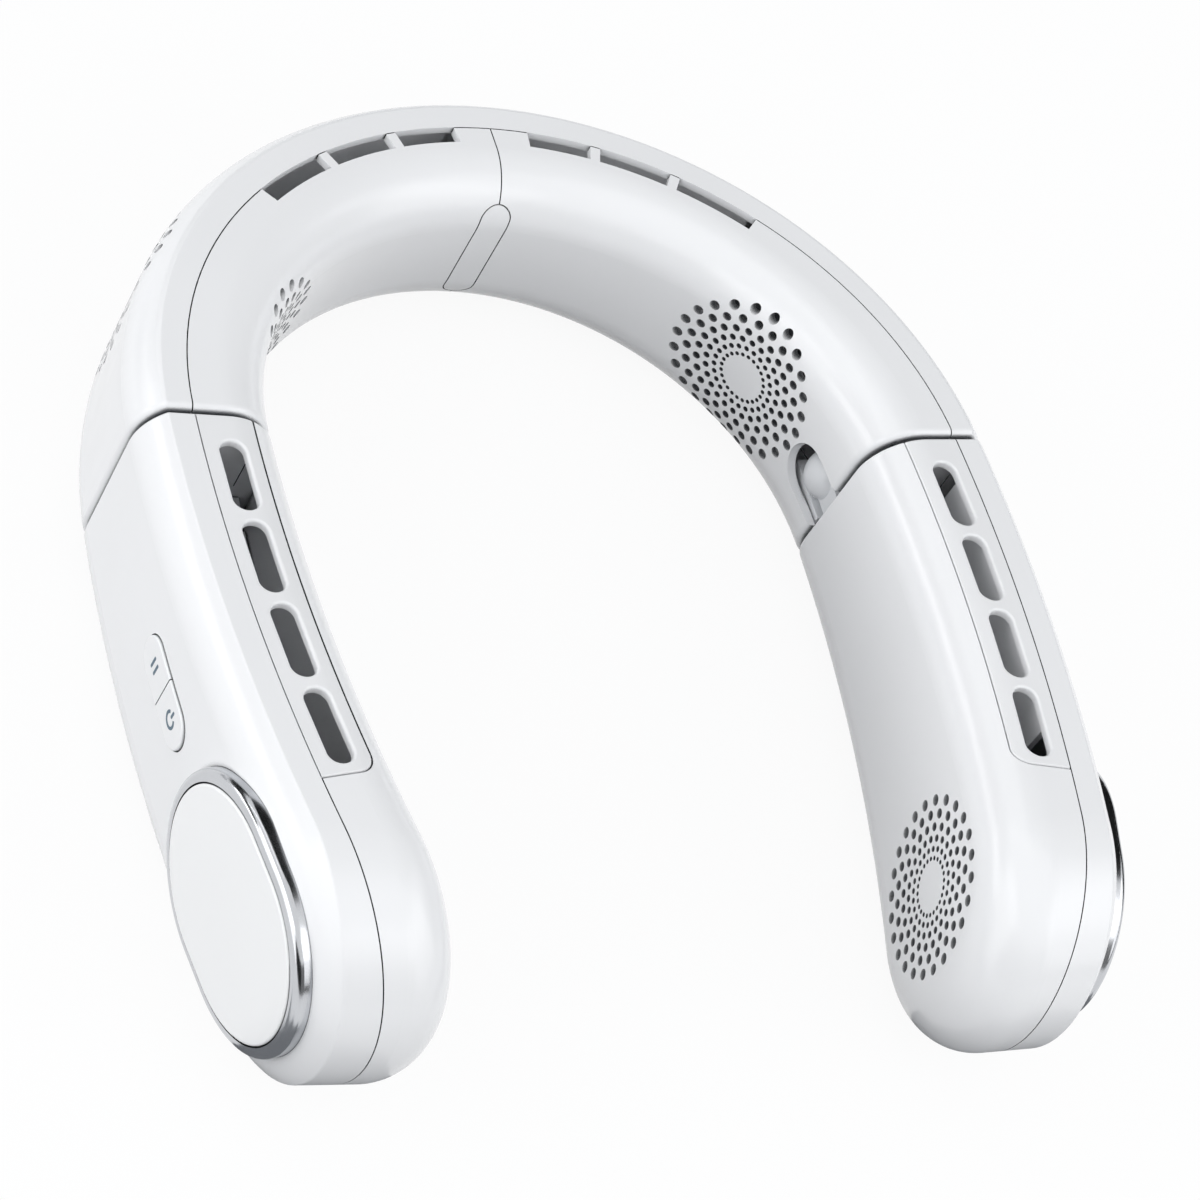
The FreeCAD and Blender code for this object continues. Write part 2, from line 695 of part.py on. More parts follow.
def impeller(name, radius, at):
    holder = body(name, at)
    hub = sketch_on(holder, "XZ_Plane", name + "_hub")
    polygon(hub, [("shaft_radius", "-1.6"), ("hub_radius", "-1.6"), ("hub_radius", "6.4"), (radius, "6.4"),
                  (radius, "7.6"), ("hub_radius - 0.9", "7.6"), ("hub_radius - 0.9", "-0.4"), ("shaft_radius", "-0.4")])
    spun(holder, hub, name + "_wheel")
    rim = sketch_on(holder, "XZ_Plane", name + "_rim")
    polygon(rim, [(radius + " - 1.6", "-7.6"), (radius, "-7.6"), (radius, "-6.8"), (radius + " - 1.6", "-6.8")])
    rim.AttachmentOffset = Placement()
    blade = sketch_on(holder, "XY_Plane", name + "_blade")
    blade.AttachmentOffset = Placement(Vector(0, 0, -7.4), Rotation())
    polygon(blade, [(radius + " - 3.4", "2"), (radius + " - 0.3", "0"), (radius + " - 0.3", "blade_thickness"),
                    (radius + " - 3.4", "2 + blade_thickness")])
    one = pad(holder, blade, "14", name + "_one_blade")
    blades = holder.newObject("PartDesign::PolarPattern", name + "_blades")
    blades.Originals = [one]
    blades.Axis = (hub, ["V_Axis"])
    bind(blades, Angle="360", Occurrences="blade_count")
    holder.Tip = blades
    doc.recompute()
    spun(holder, rim, name + "_ring")
    return holder


def tube(name, outer, inner, low, high, at):
    spot = at.multiply(Placement(Vector(0, 0, low), Rotation()))
    height = "%.6g" % (high - low)
    return cut(name, cylinder(name + "_out", outer, height, spot), cylinder(name + "_in", inner, height, spot))


def shaft(name, at):
    return cylinder(name, "shaft_radius", "10.4", at.multiply(Placement(Vector(0, 0, -1.6), Rotation())))


def stator(name, at):
    holder = body(name, at)
    drawn = sketch_on(holder, "XZ_Plane", name + "_section")
    polygon(drawn, [("shaft_radius + 2.1", "1"), ("hub_radius - 2.8", "1"), ("hub_radius - 2.8", "6"),
                    ("shaft_radius + 2.1", "6")])
    spun(holder, drawn, name + "_core")
    return holder


def motor_mount(name, at):
    holder = body(name, at)
    drawn = sketch_on(holder, "XZ_Plane", name + "_section")
    inside = "shaft_radius + running_clearance"
    polygon(drawn, [(inside, "0.4"), ("shaft_radius + 2", "0.4"), ("shaft_radius + 2", "9.2"), ("hub_radius", "9.2"),
                    ("hub_radius", "10.4"), ("shaft_radius + 3", "10.4"), ("shaft_radius + 3", "11.4"),
                    (inside, "11.4")])
    spun(holder, drawn, name + "_turned")
    return holder


def fan(prefix, radius, at):
    return {
        "impeller": impeller(prefix + "_impeller", radius, at),
        "fan_shaft": shaft(prefix + "_fan_shaft", at),
        "magnet_ring": tube(prefix + "_magnet_ring", "hub_radius - 1", "hub_radius - 2.1", 0.4, 7.0, at),
        "motor_stator": stator(prefix + "_stator", at),
        "motor_mount": motor_mount(prefix + "_mount", at),
    }


arm_fan = fan("arm", "arm_fan_radius", ARM.multiply(ARM_FAN))
band_fan = fan("band", "band_fan_radius", BAND_FAN)

# Battery cell, air duct

CELL = arm_point(n.cell_position, -2.0, n.wall + 0.4 + n.cell_radius)
cell_turn = Placement(Vector(-n.cell_length / 2, 0, 0), Rotation(Vector(0, 1, 0), 90))
cell = cylinder("cell", "cell_radius", "cell_length", CELL.multiply(cell_turn))
cell_tip = cylinder("cell_tip", "3", "1", CELL.multiply(Placement(Vector(-n.cell_length / 2 - 1, 0, 0),
                                                                Rotation(Vector(0, 1, 0), 90))))
battery = fuse("battery", [cell, cell_tip])

DUCT_START = 10.5
DUCT_END = 70.0
duct_start = 90 - arm_degrees(DUCT_END)
duct_sweep = "%.6g" % arm_degrees(DUCT_END - DUCT_START)
duct_floor = ring_sector("duct_floor", "arm_radius + 3", "arm_radius - band_depth / 2", duct_start, duct_sweep,
                         ARM_CENTRE, n.duct_floor, n.duct_floor + n.duct_wall)
duct_side = ring_sector("duct_side", "arm_radius + 3", "arm_radius + 3 - duct_wall", duct_start, duct_sweep,
                        ARM_CENTRE, n.duct_floor, 80.0)
duct_room = arm_block("duct_room", n.wall + 0.2, n.hinge_gap + n.end_wall)
arm_duct = common("arm_duct", fuse("arm_duct_plain", [duct_floor, duct_side]), duct_room)

BAND_DUCT_LOW = 22.0
band_duct_floor = ring_sector("band_duct_floor", "band_radius + band_depth", "band_radius - band_depth", 90 - 41.5,
                              "36", Vector(0, 0, 0), BAND_DUCT_LOW, BAND_DUCT_LOW + n.duct_wall)
band_duct_side = ring_sector("band_duct_side", "band_radius + 7", "band_radius + 7 - duct_wall", 90 - 41.5,
                             "36", Vector(0, 0, 0), BAND_DUCT_LOW, 80.0)
band_duct_room = band_block("band_duct_room", n.wall + 0.2)
band_duct = common("band_duct", fuse("band_duct_plain", [band_duct_floor, band_duct_side]), band_duct_room)

# Buttons of the left arm, drawn on the right and mirrored with it

BUTTONS = arm_point(n.button_position, n.band_depth / 2, n.button_height).multiply(FACING)


def pill(name, grow, low, high):
    holder = body(name, BUTTONS.multiply(Placement(Vector(0, 0, low), Rotation())))
    drawn = sketch_on(holder, "XY_Plane", name + "_outline")
    stadium(drawn, "button_half - button_radius", "button_radius + %.6g" % grow)
    pad(holder, drawn, "%.6g" % (high - low), name + "_pad")
    return holder


def half_of(name, base, side):
    """One of the two buttons: the pill cut across its middle."""
    gap = n.button_gap / 2
    start = gap if side > 0 else -40 - gap
    keep = box(name + "_keep", "40", "40", "40", BUTTONS.multiply(Placement(Vector(start, -20, -20), Rotation())))
    return common(name, base, keep)


FLANGE_TOP = -n.wall - 0.3
FLANGE_LOW = FLANGE_TOP - 1.2
button_block = pill("button_block", 0.0, FLANGE_LOW, n.button_stand)
button_soft = rounded("button_soft", button_block, 0.35, top_edges(button_block, n.button_stand - FLANGE_LOW))
button_both = fuse("button_both", [button_soft, pill("button_base", n.button_flange, FLANGE_LOW, FLANGE_TOP)])
mode_button = half_of("mode_button_right", button_both, -1)
power_button = half_of("power_button_right", button_both, 1)
button_hole = pill("button_hole", n.button_gap, -6.0, 6.0)

BOARD_TOP = FLANGE_LOW - n.button_travel - 0.05 - 2.6
board = box("board", "34", "19", "board_thickness",
            BUTTONS.multiply(Placement(Vector(-17, -12, BOARD_TOP - n.board_thickness), Rotation())))


def switch(name, along):
    case = box(name + "_case", "6", "6", "1.9", BUTTONS.multiply(Placement(Vector(along - 3, -3, BOARD_TOP), Rotation())))
    key = cylinder(name + "_key", "1.5", "0.7", BUTTONS.multiply(Placement(Vector(along, 0, BOARD_TOP + 1.9), Rotation())))
    return fuse(name, [case, key])


mode_switch = switch("mode_switch_right", -n.switch_offset)
power_switch = switch("power_switch_right", n.switch_offset)

# Charging socket in the bottom edge of the left arm

SOCKET = arm_point(84.0, n.seam_offset + 2.4, 0)


def socket_block(name, length, width, low, height):
    return box(name, "%.6g" % length, "%.6g" % width, "%.6g" % height,
               SOCKET.multiply(Placement(Vector(-length / 2, -width / 2, low), Rotation())))


def socket_edges(edge):
    """The four long edges that stand up."""
    a, b = [v.Point for v in edge.Vertexes]
    return abs(a.x - b.x) < 0.01 and abs(a.y - b.y) < 0.01


socket_shell = rounded("socket_shell", socket_block("socket_case", 8.9, 3.2, 0.2, 7.2), 1.5, socket_edges)
socket_mouth = rounded("socket_mouth", socket_block("socket_space", 8.2, 2.5, -1.0, 7.0), 1.2, socket_edges)
socket_tongue = socket_block("socket_tongue", 6.6, 0.7, 1.0, 5.6)
socket = fuse("socket", [cut("socket_empty", socket_shell, socket_mouth), socket_tongue])
socket_hole = rounded("socket_hole", socket_block("socket_opening", 9.1, 3.4, -5.0, 11.0), 1.6, socket_edges)

# Left arm's outer cover has the openings for the buttons and the charging socket
arm_outer_controls = cut("arm_outer_controls", cut("arm_outer_buttons", arm_outer, button_hole), socket_hole)

# Set every arm piece on the hinge end of the band

right_arm = {
    "outer_cover": arm_outer,
    "inner_cover": arm_inner,
    "outlet_grille": arm_strip,
    "cap": cap,
    "cap_ring": cap_ring,
    "hinge_knuckle": knuckle,
    "battery_cell": battery,
    "air_duct": arm_duct,
}
left_only = {
    "outer_cover": arm_outer_controls,
    "mode_button": mode_button,
    "power_button": power_button,
    "control_board": board,
    "mode_switch": mode_switch,
    "power_switch": power_switch,
    "charging_socket": socket,
}
doc.recompute()


def set_on_arm(name, source):
    """The same piece carried from the arm's frame to the world."""
    made = doc.addObject("Part::Compound", name)
    made.Links = [source]
    made.Placement = ARM
    return made


pieces = {}
for name, source in right_arm.items():
    carried = set_on_arm("carried_" + name, source)
    pieces["right_arm_" + name] = carried
    if name not in left_only:
        pieces["left_arm_" + name] = mirrored("left_" + name, carried)
for name, source in left_only.items():
    pieces["left_arm_" + name] = mirrored("left_" + name, set_on_arm("carried_left_" + name, source))
for name, source in (("hinge_bracket", bracket), ("hinge_pin", pin)):
    carried = set_on_arm("carried_" + name, source)
    pieces["right_" + name] = carried
    pieces["left_" + name] = mirrored("left_" + name, carried)
for name, source in arm_fan.items():
    pieces["right_arm_" + name] = source
    pieces["left_arm_" + name] = mirrored("left_arm_" + name, source)
for name, source in band_fan.items():
    pieces["band_right_" + name] = source
    pieces["band_left_" + name] = mirrored("left_band_" + name, source)
pieces["band_outer_cover"] = band_outer
pieces["band_inner_cover_right"] = band_inner
pieces["band_inner_cover_left"] = mirrored("left_band_inner", band_inner)
pieces["band_trim"] = trim
pieces["band_right_air_duct"] = band_duct
pieces["band_left_air_duct"] = mirrored("left_band_duct", band_duct)

doc.recompute()
broken = [o.Name for o in doc.Objects if "Invalid" in o.State or "Error" in o.State]
if broken:
    raise RuntimeError("broken: " + ", ".join(broken))

os.makedirs("parts", exist_ok=True)
for name, piece in pieces.items():
    piece.Label = name
    shape = piece.Shape
    if shape.isNull() or not shape.isValid() or not shape.Solids:
        raise RuntimeError("no sound solid: " + name)
    shape.exportStep("parts/%s.step" % piece.Label)
print("wrote", len(pieces), "pieces")
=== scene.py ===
"""Looks of a hinged neck fan: finishes for its shells, chrome rings, buttons, hinges and blowers."""

import json
import math

import bmesh
import bpy
from bpy.props import FloatProperty, FloatVectorProperty, PointerProperty
from mathutils import Matrix, Quaternion, Vector


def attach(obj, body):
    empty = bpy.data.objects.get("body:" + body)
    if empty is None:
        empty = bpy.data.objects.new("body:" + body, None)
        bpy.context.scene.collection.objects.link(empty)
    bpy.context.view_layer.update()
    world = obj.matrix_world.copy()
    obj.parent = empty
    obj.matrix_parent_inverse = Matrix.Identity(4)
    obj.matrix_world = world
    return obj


bl_info = {
    "name": "Neck fan looks",
    "version": (1, 0, 0),
    "blender": (4, 5, 0),
    "location": "View3D > Sidebar > Neck fan",
    "description": "Finishes, printed signs and studio for a hinged neck fan",
    "category": "Object",
}

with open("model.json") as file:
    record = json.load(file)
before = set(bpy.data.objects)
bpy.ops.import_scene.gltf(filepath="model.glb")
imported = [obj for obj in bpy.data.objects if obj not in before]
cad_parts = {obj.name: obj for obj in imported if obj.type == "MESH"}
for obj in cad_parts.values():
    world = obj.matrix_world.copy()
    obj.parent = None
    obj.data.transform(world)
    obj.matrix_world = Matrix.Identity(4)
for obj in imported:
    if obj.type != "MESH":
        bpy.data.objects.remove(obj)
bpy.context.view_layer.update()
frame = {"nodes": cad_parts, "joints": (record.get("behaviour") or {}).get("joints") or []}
NODES = frame["nodes"]
MM = 0.001

# Painted shade in narrow holes and joints: its grey, and the open shares of sky at which it is full and gone
RECESS_SHADE = "#44474B"
RECESS_SHADE_FULL = 0.42
RECESS_SHADE_GONE = 0.72

# Moulded plastic: its refraction, and the lengths of the slow flow of colour and of the marks of handling
PLASTIC_IOR = 1.53
FLOW_LENGTH = 30 * MM
TOUCH_LENGTH = 7 * MM

# A wave texture of scale 1 repeats every pi / 10 metres
WAVE = math.pi / 10

# Caps and buttons get less painted shade than the shells: it goes only into joints this share as wide
RECESS_SHADE_SHARE = 0.4

# Where each lamp stands and its width and height, in metres; all face the middle of the fan
LAMP_AIM = (0.0, -0.02, 0.03)
LAMPS = {
    "left": ((-0.82, -0.18, 0.3), (0.8, 0.8)),
    "right": ((0.65, -0.55, 0.5), (0.8, 0.8)),
    "front": ((0.15, -0.95, 0.3), (0.6, 0.6)),
    "low": ((-0.8, 0.42, 0.14), (0.55, 0.16)),
    "edge": ((-0.42, 0.42, 0.76), (0.06, 0.8)),
}

# The dark card above, and the low ones beside the arms' tips and behind the band, in metres:
# a low card is x, y and half its side, and has a twin at the other side of the fan
UPPER_CARD_PLACE = (0.5, 0.55, 0.86)
UPPER_CARD_HALF = 0.62
TIP_CARD = (0.08, -0.135, 0.032)
BACK_CARD = (0.2, 0.17, 0.06)
LOW_CARD_HEIGHT = 1.5 * MM

# The floor lies this far below the fan, so that no two faces share a plane
FLOOR_DROP = 0.3 * MM
# Share of the floor's white that is its own glow; the rest takes the fan's shadow
FLOOR_GLOW = 0.92
SENSOR_WIDTH = 36.0


def linear(hex_colour):
    """Linear red, green and blue of an sRGB hex colour."""
    parts = [int(hex_colour[i:i + 2], 16) / 255 for i in (1, 3, 5)]
    return [c / 12.92 if c <= 0.04045 else ((c + 0.055) / 1.055) ** 2.4 for c in parts]


def colour_property(name, description, hex_colour):
    """A colour that a user may change, given as an sRGB hex value."""
    return FloatVectorProperty(
        name=name, description=description, subtype="COLOR", size=3, min=0, max=1,
        default=linear(hex_colour),
    )


def lamp_property(name, description, watts):
    """A lamp's power."""
    return FloatProperty(name=name, description=description, unit="POWER", min=0, default=watts)


# Values a user would change


class NeckFanFinish(bpy.types.PropertyGroup):
    shell: colour_property("Shell", "Polished white ABS of the covers", "#F2F3F5")
    strip: colour_property("Outlet strip", "Satin white ABS round the air slots", "#F0F1F3")
    cap: colour_property("End cap", "Flat white cap inside the chrome ring", "#F9FAFB")
    button: colour_property("Buttons", "White ABS of the two buttons", "#F5F6F8")
    ink: colour_property("Sign ink", "Blue-grey ink of the printed signs", "#4C6577")
    chrome: colour_property("Chrome", "Bright plating of the oval rings", "#CCCED2")
    duct: colour_property("Air ducts", "White moulding inside the air slots", "#F2F3F5")
    # The blades' grey is darker than their own colour: painted shade for the inside of the grille holes
    wheel: colour_property("Blower wheels", "Grey moulded blades", "#5C5F64")
    hinge: colour_property("Hinge mouldings", "White acetal of knuckle and bracket", "#E6E8EB")
    sleeve: colour_property("Cell sleeve", "Heat-shrink film on the battery cells", "#2F5F9E")
    board: colour_property("Board", "Solder mask of the control board", "#1F6B3C")
    copper: colour_property("Windings", "Enamelled copper wire", "#B8703C")
    steel: colour_property("Ground steel", "Pins, shafts and socket shell", "#B4B6BA")
    nylon: colour_property("Switches", "Black nylon of the two switches", "#1E1E20")
    shell_roughness: FloatProperty(
        name="Shell roughness", description="How blurred the shell's reflections are", subtype="FACTOR",
        min=0, max=1, default=0.22,
    )
    # Holes and joints narrower than this length get grey painted shade in their colour
    recess: FloatProperty(
        name="Painted shade recess", description="Holes and joints narrower than this look dark", unit="LENGTH",
        default=2.4 * MM,
    )
    peel: FloatProperty(
        name="Orange peel", description="Spacing of the faint waves on a polished moulding", unit="LENGTH",
        default=2.4 * MM,
    )


class NeckFanSigns(bpy.types.PropertyGroup):
    height: FloatProperty(
        name="Sign height", description="Height of the printed signs", unit="LENGTH", default=3.8 * MM
    )
    stroke: FloatProperty(
        name="Stroke", description="Width of a printed line", unit="LENGTH", default=0.62 * MM
    )
    film: FloatProperty(
        name="Ink film", description="How far the print stands on the button", unit="LENGTH",
        default=0.03 * MM,
    )
    opening: FloatProperty(
        name="Ring opening", description="Angle left open at the top of the power ring", unit="ROTATION",
        default=math.radians(80),
    )


class NeckFanStudio(bpy.types.PropertyGroup):
    camera_place: FloatVectorProperty(
        name="Camera", description="Where the camera stands", subtype="TRANSLATION", unit="LENGTH", size=3,
        default=(-0.30843, -0.36626, 0.56183),
    )
    camera_aim: FloatVectorProperty(
        name="Aim", description="The point on the floor at the middle of the picture",
        subtype="TRANSLATION", unit="LENGTH", size=3, default=(0.0183, -0.0075, 0.0),
    )
    camera_roll: FloatProperty(
        name="Roll", description="Turn of the camera about its own line of sight", unit="ROTATION",
        default=math.radians(35.2),
    )
    lens: FloatProperty(
        name="Lens", description="Focal length on a 36 mm sensor", unit="CAMERA", default=113.0
    )
    floor: colour_property("Floor", "Plain pale floor", "#F7F8FA")
    floor_size: FloatProperty(
        name="Floor size", description="Side of the floor", unit="LENGTH", default=8.0
    )
    bounce: colour_property("Bounce", "Floor as the light that comes back from it sees it", "#46484C")
    walls: FloatProperty(
        name="Walls", description="Strength of the light from all round, low down", min=0, default=1.1
    )
    ceiling: FloatProperty(
        name="Ceiling", description="Strength of the light from straight above", min=0, default=0.5
    )
    left: lamp_property("Left lamp", "Power of the large lamp at the left", 3.4)
    right: lamp_property("Right lamp", "Power of the large lamp at the right", 3.0)
    front: lamp_property("Front lamp", "Power of the fill lamp in front", 0.2)
    low: lamp_property("Low lamp", "Power of the low strip behind left", 1.0)
    edge: lamp_property("Edge lamp", "Power of the long lamp behind", 0.25)
    surround_radius: FloatProperty(
        name="Surround", description="Radius of the dark wall that only reflections show", unit="LENGTH",
        default=1.7,
    )
    surround_low: FloatProperty(
        name="Surround foot", description="Lower edge of the dark wall", unit="LENGTH", default=0.05
    )
    surround_high: FloatProperty(
        name="Surround top", description="Upper edge of the dark wall", unit="LENGTH", default=0.95
    )


# Nodes and meshes


def add_node(tree, kind, settings=None, links=None):
    """A node with its settings, which name inputs, attributes or colour stops, and links into its inputs."""
    node = tree.nodes.new(kind)
    for key, value in (settings or {}).items():
        if key == "stops":
            for element, (position, colour) in zip(node.color_ramp.elements, value):
                element.position = position
                element.color = (*colour, 1.0)
        elif isinstance(key, int) or key in node.inputs:
            node.inputs[key].default_value = value
        else:
            setattr(node, key, value)
    for key, socket in (links or {}).items():
        tree.links.new(node.inputs[key], socket)
    return node


def empty_nodes(owner):
    """The cleared node tree of a material or world."""
    owner.use_nodes = True
    owner.node_tree.nodes.clear()
    return owner.node_tree


def start_material(name):
    """A material with only its surface shader, and the coordinates of the piece it is on."""
    made = bpy.data.materials.new(name)
    tree = empty_nodes(made)
    shader = add_node(tree, "ShaderNodeBsdfPrincipled")
    add_node(tree, "ShaderNodeOutputMaterial", links={"Surface": shader.outputs["BSDF"]})
    place = add_node(tree, "ShaderNodeTexCoord").outputs["Object"]
    return made, tree, shader, place


def per(length):
    """Texture scale for a feature of that length."""
    return 1.0 / length


def darker(colour, share):
    """The colour with that share of its light."""
    return [c * share for c in colour]


def recess_shaded(tree, paint, recess):
    """The colour, darkened to grey painted shade in holes and joints that are narrower than the recess
    length.
    """
    open_share = add_node(tree, "ShaderNodeAmbientOcclusion", {"Distance": recess, "samples": 8})
    unshaded = add_node(
        tree, "ShaderNodeMapRange", {"From Min": RECESS_SHADE_FULL, "From Max": RECESS_SHADE_GONE},
        {"Value": open_share.outputs["AO"]},
    )
    mixed = add_node(
        tree, "ShaderNodeMix", {"data_type": "RGBA", 6: (*linear(RECESS_SHADE), 1.0)},
        {0: unshaded.outputs["Result"], 7: paint},
    )
    return mixed.outputs[2]


def moulded_plastic(name, colour, roughness, grain, depth, vary=0.05, shade=0.97, recess=0.0):
    """Injection-moulded plastic: a wave or grain left by the tool, and gloss made uneven by handling.

    The grain has that spacing and depth. The colour sinks to its shade where the melt flowed, and the
    roughness varies both ways. With a recess length, holes and joints narrower than it get grey painted
    shade.
    """
    made, tree, shader, place = start_material(name)
    shader.inputs["IOR"].default_value = PLASTIC_IOR
    flow = add_node(
        tree, "ShaderNodeTexNoise", {"Scale": per(FLOW_LENGTH), "Detail": 0.0}, {"Vector": place}
    )
    tone = add_node(
        tree, "ShaderNodeValToRGB",
        {"stops": [(0.3, darker(colour, shade)), (0.7, colour)]}, {"Fac": flow.outputs["Fac"]},
    )
    paint = tone.outputs["Color"]
    # Painted shade: grey mixed into the colour in holes and joints narrower than the recess length
    if recess:
        paint = recess_shaded(tree, paint, recess)
    tree.links.new(shader.inputs["Base Color"], paint)
    touch = add_node(
        tree, "ShaderNodeTexNoise", {"Scale": per(TOUCH_LENGTH), "Detail": 1.0}, {"Vector": place}
    )
    gloss = add_node(
        tree, "ShaderNodeMapRange",
        {"From Min": 0.3, "From Max": 0.7, "To Min": roughness - vary, "To Max": roughness + vary},
        {"Value": touch.outputs["Fac"]},
    )
    tree.links.new(shader.inputs["Roughness"], gloss.outputs["Result"])
    tool = add_node(tree, "ShaderNodeTexNoise", {"Scale": per(grain), "Detail": 2.0}, {"Vector": place})
    relief = add_node(
        tree, "ShaderNodeBump", {"Strength": 1.0, "Distance": depth}, {"Height": tool.outputs["Fac"]}
    )
    tree.links.new(shader.inputs["Normal"], relief.outputs["Normal"])
    return made


def bright_chrome(name, colour, recess):
    """Chrome plated on polished ABS: a mirror with the plastic's slow waves and duller wiped patches."""
    made, tree, shader, place = start_material(name)
    shader.inputs["Metallic"].default_value = 1.0
    wiped = add_node(tree, "ShaderNodeTexNoise", {"Scale": per(9 * MM), "Detail": 4.0}, {"Vector": place})
    tone = add_node(
        tree, "ShaderNodeValToRGB",
        {"stops": [(0.35, darker(colour, 0.95)), (0.65, colour)]}, {"Fac": wiped.outputs["Fac"]},
    )
    # Painted shade darkens the chrome's colour in joints narrower than the recess length
    tree.links.new(shader.inputs["Base Color"], recess_shaded(tree, tone.outputs["Color"], recess))
    gloss = add_node(
        tree, "ShaderNodeMapRange",
        {"From Min": 0.3, "From Max": 0.7, "To Min": 0.14, "To Max": 0.2}, {"Value": wiped.outputs["Fac"]},
    )
    tree.links.new(shader.inputs["Roughness"], gloss.outputs["Result"])
    wave = add_node(tree, "ShaderNodeTexNoise", {"Scale": per(5 * MM), "Detail": 0.0}, {"Vector": place})
    relief = add_node(
        tree, "ShaderNodeBump", {"Strength": 1.0, "Distance": 0.01 * MM}, {"Height": wave.outputs["Fac"]}
    )
    tree.links.new(shader.inputs["Normal"], relief.outputs["Normal"])
    return made


def ground_steel(name, colour):
    """Centreless-ground steel: fine random scratches that spread the highlight."""
    made, tree, shader, place = start_material(name)
    shader.inputs["Metallic"].default_value = 1.0
    grit = add_node(tree, "ShaderNodeTexNoise", {"Scale": per(0.3 * MM), "Detail": 3.0}, {"Vector": place})
    tone = add_node(
        tree, "ShaderNodeValToRGB",
        {"stops": [(0.3, darker(colour, 0.85)), (0.7, colour)]}, {"Fac": grit.outputs["Fac"]},
    )
    tree.links.new(shader.inputs["Base Color"], tone.outputs["Color"])
    gloss = add_node(
        tree, "ShaderNodeMapRange",
        {"From Min": 0.3, "From Max": 0.7, "To Min": 0.24, "To Max": 0.4}, {"Value": grit.outputs["Fac"]},
    )
    tree.links.new(shader.inputs["Roughness"], gloss.outputs["Result"])
    return made


def bonded_ferrite(name):
    """Pressed ferrite in plastic: near black, dull and finely speckled."""
    made, tree, shader, place = start_material(name)
    speck = add_node(tree, "ShaderNodeTexNoise", {"Scale": per(0.4 * MM), "Detail": 4.0}, {"Vector": place})
    tone = add_node(
        tree, "ShaderNodeValToRGB",
        {"stops": [(0.35, linear("#2A2A2C")), (0.7, linear("#4A4A4D"))]}, {"Fac": speck.outputs["Fac"]},
    )
    tree.links.new(shader.inputs["Base Color"], tone.outputs["Color"])
    shader.inputs["Roughness"].default_value = 0.62
    relief = add_node(
        tree, "ShaderNodeBump", {"Strength": 1.0, "Distance": 0.02 * MM}, {"Height": speck.outputs["Fac"]}
    )
    tree.links.new(shader.inputs["Normal"], relief.outputs["Normal"])
    return made


def wound_copper(name, colour):
    """Enamelled wire wound in rows 0.4 mm apart: copper under clear varnish, dark between the turns."""
    made, tree, shader, place = start_material(name)
    shader.inputs["Metallic"].default_value = 1.0
    rows = add_node(
        tree, "ShaderNodeTexWave",
        {"Scale": WAVE * per(0.4 * MM), "bands_direction": "Z"}, {"Vector": place},
    )
    tone = add_node(
        tree, "ShaderNodeValToRGB",
        {"stops": [(0.1, darker(colour, 0.3)), (0.6, colour)]}, {"Fac": rows.outputs["Fac"]},
    )
    tree.links.new(shader.inputs["Base Color"], tone.outputs["Color"])
    shader.inputs["Roughness"].default_value = 0.34
    relief = add_node(
        tree, "ShaderNodeBump", {"Strength": 1.0, "Distance": 0.1 * MM}, {"Height": rows.outputs["Fac"]}
    )
    tree.links.new(shader.inputs["Normal"], relief.outputs["Normal"])
    return made


def shrink_film(name, colour):
    """Heat-shrink film drawn tight on a metal can: glossy, with small wrinkles."""
    made, tree, shader, place = start_material(name)
    tight = add_node(tree, "ShaderNodeTexNoise", {"Scale": per(3 * MM), "Detail": 3.0}, {"Vector": place})
    tone = add_node(
        tree, "ShaderNodeValToRGB",
        {"stops": [(0.3, darker(colour, 0.85)), (0.7, colour)]}, {"Fac": tight.outputs["Fac"]},
    )
    tree.links.new(shader.inputs["Base Color"], tone.outputs["Color"])
    shader.inputs["Roughness"].default_value = 0.28
    relief = add_node(
        tree, "ShaderNodeBump", {"Strength": 1.0, "Distance": 0.05 * MM}, {"Height": tight.outputs["Fac"]}
    )
    tree.links.new(shader.inputs["Normal"], relief.outputs["Normal"])
    return made


def solder_mask(name, colour):
    """Solder mask over etched copper: glossy green, paler where a track runs underneath every 1.6 mm."""
    made, tree, shader, place = start_material(name)
    tracks = add_node(
        tree, "ShaderNodeTexWave",
        {"Scale": WAVE * per(1.6 * MM), "Distortion": 1.5, "bands_direction": "Z"}, {"Vector": place},
    )
    over_copper = [min(1.0, c * 1.5) for c in colour]
    tone = add_node(
        tree, "ShaderNodeValToRGB",
        {"stops": [(0.55, colour), (0.65, over_copper)]}, {"Fac": tracks.outputs["Fac"]},
    )
    tree.links.new(shader.inputs["Base Color"], tone.outputs["Color"])
    shader.inputs["Roughness"].default_value = 0.3
    relief = add_node(
        tree, "ShaderNodeBump", {"Strength": 1.0, "Distance": 0.03 * MM}, {"Height": tracks.outputs["Fac"]}
    )
    tree.links.new(shader.inputs["Normal"], relief.outputs["Normal"])
    return made


def pad_print(name, colour):
    """Pad-printed ink: a thin, even, half-matt film with the pad's faint mottle."""
    made, tree, shader, place = start_material(name)
    mottle = add_node(
        tree, "ShaderNodeTexNoise", {"Scale": per(0.5 * MM), "Detail": 3.0}, {"Vector": place}
    )
    tone = add_node(
        tree, "ShaderNodeValToRGB",
        {"stops": [(0.3, darker(colour, 0.88)), (0.7, colour)]}, {"Fac": mottle.outputs["Fac"]},
    )
    tree.links.new(shader.inputs["Base Color"], tone.outputs["Color"])
    shader.inputs["Roughness"].default_value = 0.45
    return made


def finish_nodes(material, *endings):
    """Gives the material to every CAD node whose name ends in one of these words."""
    chosen = [NODES[name] for name in sorted(NODES) if name.endswith(endings)]
    if not chosen:
        raise RuntimeError("no CAD node ends in " + ", ".join(endings))
    for piece in chosen:
        piece.data.materials.clear()
        piece.data.materials.append(material)


